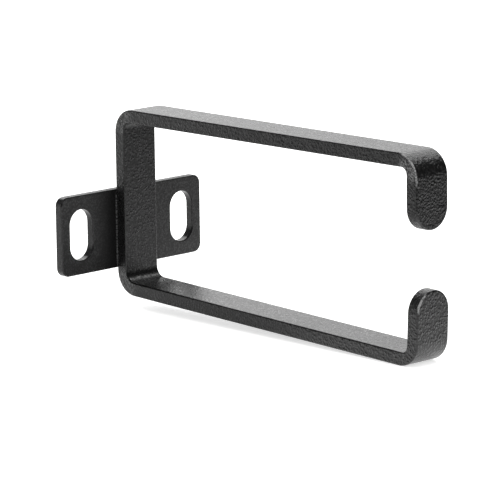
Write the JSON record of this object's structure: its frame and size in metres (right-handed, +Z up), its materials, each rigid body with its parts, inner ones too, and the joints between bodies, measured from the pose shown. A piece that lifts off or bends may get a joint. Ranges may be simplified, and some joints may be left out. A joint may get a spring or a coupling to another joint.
{
  "type": "rack d-ring cable hook",
  "caption": "Flat bar bent into an open rectangular ring with round-ended inward lips, welded across a small plate with slots that screws to a rack rail and guides cables.",
  "frame": {"origin": "centre of the mounting plate's back face, the face that lies on the rack's rail", "axes": "+X out of the rail along the ring's depth, +Y along the plate from slot to slot, +Z up along the ring's leg"},
  "size_m": [0.0998, 0.0442, 0.0474],
  "materials": {
    "powder_coat": "black powder coat with a fine wrinkle texture, satin"
  },
  "bodies": {
    "root": {"hook_bar": "powder_coat", "mounting_plate": "powder_coat"}
  },
  "joints": []
}
